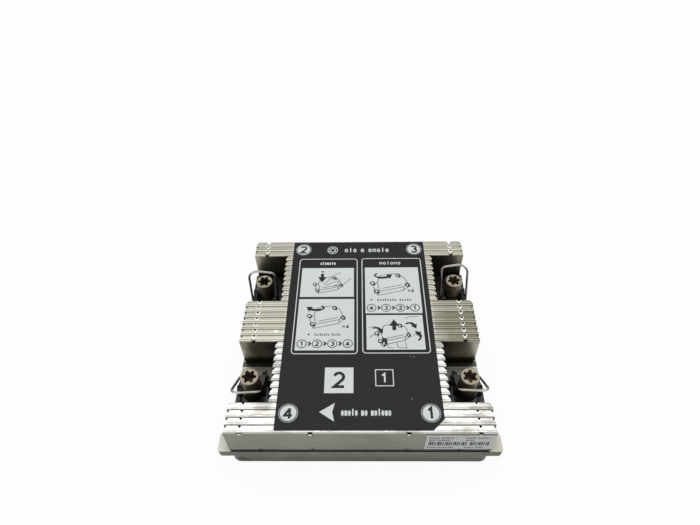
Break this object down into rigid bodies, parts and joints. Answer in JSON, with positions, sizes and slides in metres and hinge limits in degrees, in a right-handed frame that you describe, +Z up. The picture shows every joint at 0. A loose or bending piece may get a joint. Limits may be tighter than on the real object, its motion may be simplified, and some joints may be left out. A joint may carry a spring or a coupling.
{
  "type": "passive server cpu heatsink",
  "caption": "Low passive heatsink for a server processor: stacked folded fins on a thick base plate, with captive corner nuts and tilting wire bails.",
  "frame": {"origin": "centre of the four nuts on the flat contact face under the base plate", "axes": "+Z up through the fins, +X to the right along the fins, +Y to the back across the fins"},
  "size_m": [0.117, 0.104, 0.0337],
  "materials": {
    "nickel_base": "satin nickel",
    "nickel_fin": "satin nickel",
    "nut_polymer": "matt",
    "black_plastic": "glossy",
    "steel_wire": "bright",
    "label_print": "satin film",
    "side_label_paper": "matt film"
  },
  "bodies": {
    "root": {"base_plate": "nickel_base", "fin_01": "nickel_fin", "fin_02": "nickel_fin", "fin_03": "nickel_fin", "fin_04": "nickel_fin", "fin_05": "nickel_fin", "fin_06": "nickel_fin", "fin_07": "nickel_fin", "fin_08": "nickel_fin", "fin_09": "nickel_fin", "fin_10": "nickel_fin", "fin_11": "nickel_fin", "fin_12": "nickel_fin", "fin_13": "nickel_fin", "fin_14": "nickel_fin", "fin_15": "nickel_fin", "fin_16": "nickel_fin", "fin_17": "nickel_fin", "fin_18": "nickel_fin", "fin_19": "nickel_fin", "fin_20": "nickel_fin", "fin_21": "nickel_fin", "fin_22": "nickel_fin", "fin_23": "nickel_fin", "fin_24": "nickel_fin", "fin_25": "nickel_fin", "fin_26": "nickel_fin", "fin_27": "nickel_fin", "fin_28": "nickel_fin", "fin_29": "nickel_fin", "fin_30": "nickel_fin", "fin_31": "nickel_fin", "fin_32": "nickel_fin", "retainer_front_left": "black_plastic", "retainer_front_right": "black_plastic", "retainer_back_left": "black_plastic", "retainer_back_right": "black_plastic", "instruction_label": "label_print", "side_label": "side_label_paper"},
    "nut_front_left": {"nut_front_left": "nut_polymer"},
    "wire_front_left": {"tilt_wire_front_left": "steel_wire"},
    "nut_front_right": {"nut_front_right": "nut_polymer"},
    "wire_front_right": {"tilt_wire_front_right": "steel_wire"},
    "nut_back_left": {"nut_back_left": "nut_polymer"},
    "wire_back_left": {"tilt_wire_back_left": "steel_wire"},
    "nut_back_right": {"nut_back_right": "nut_polymer"},
    "wire_back_right": {"tilt_wire_back_right": "steel_wire"}
  },
  "joints": [
    {"name": "nut_front_left_turn", "type": "hinge", "parent": "root", "child": "nut_front_left", "pos_m": [-0.047, -0.0267, 0.0241], "axis": [0, 0, 1], "continuous": true},
    {"name": "wire_front_left_tilt", "type": "hinge", "parent": "root", "child": "wire_front_left", "pos_m": [-0.047, -0.0219, 0.015], "axis": [1, 0, 0], "range_deg": [-81.5, 8.5]},
    {"name": "nut_front_right_turn", "type": "hinge", "parent": "root", "child": "nut_front_right", "pos_m": [0.047, -0.0267, 0.0241], "axis": [0, 0, 1], "continuous": true},
    {"name": "wire_front_right_tilt", "type": "hinge", "parent": "root", "child": "wire_front_right", "pos_m": [0.047, -0.0219, 0.015], "axis": [1, 0, 0], "range_deg": [-79, 11]},
    {"name": "nut_back_left_turn", "type": "hinge", "parent": "root", "child": "nut_back_left", "pos_m": [-0.047, 0.0267, 0.0241], "axis": [0, 0, 1], "continuous": true},
    {"name": "wire_back_left_tilt", "type": "hinge", "parent": "root", "child": "wire_back_left", "pos_m": [-0.047, 0.0219, 0.015], "axis": [1, 0, 0], "range_deg": [-47.5, 42.5]},
    {"name": "nut_back_right_turn", "type": "hinge", "parent": "root", "child": "nut_back_right", "pos_m": [0.047, 0.0267, 0.0241], "axis": [0, 0, 1], "continuous": true},
    {"name": "wire_back_right_tilt", "type": "hinge", "parent": "root", "child": "wire_back_right", "pos_m": [0.047, 0.0219, 0.015], "axis": [1, 0, 0], "range_deg": [-30, 60]}
  ]
}
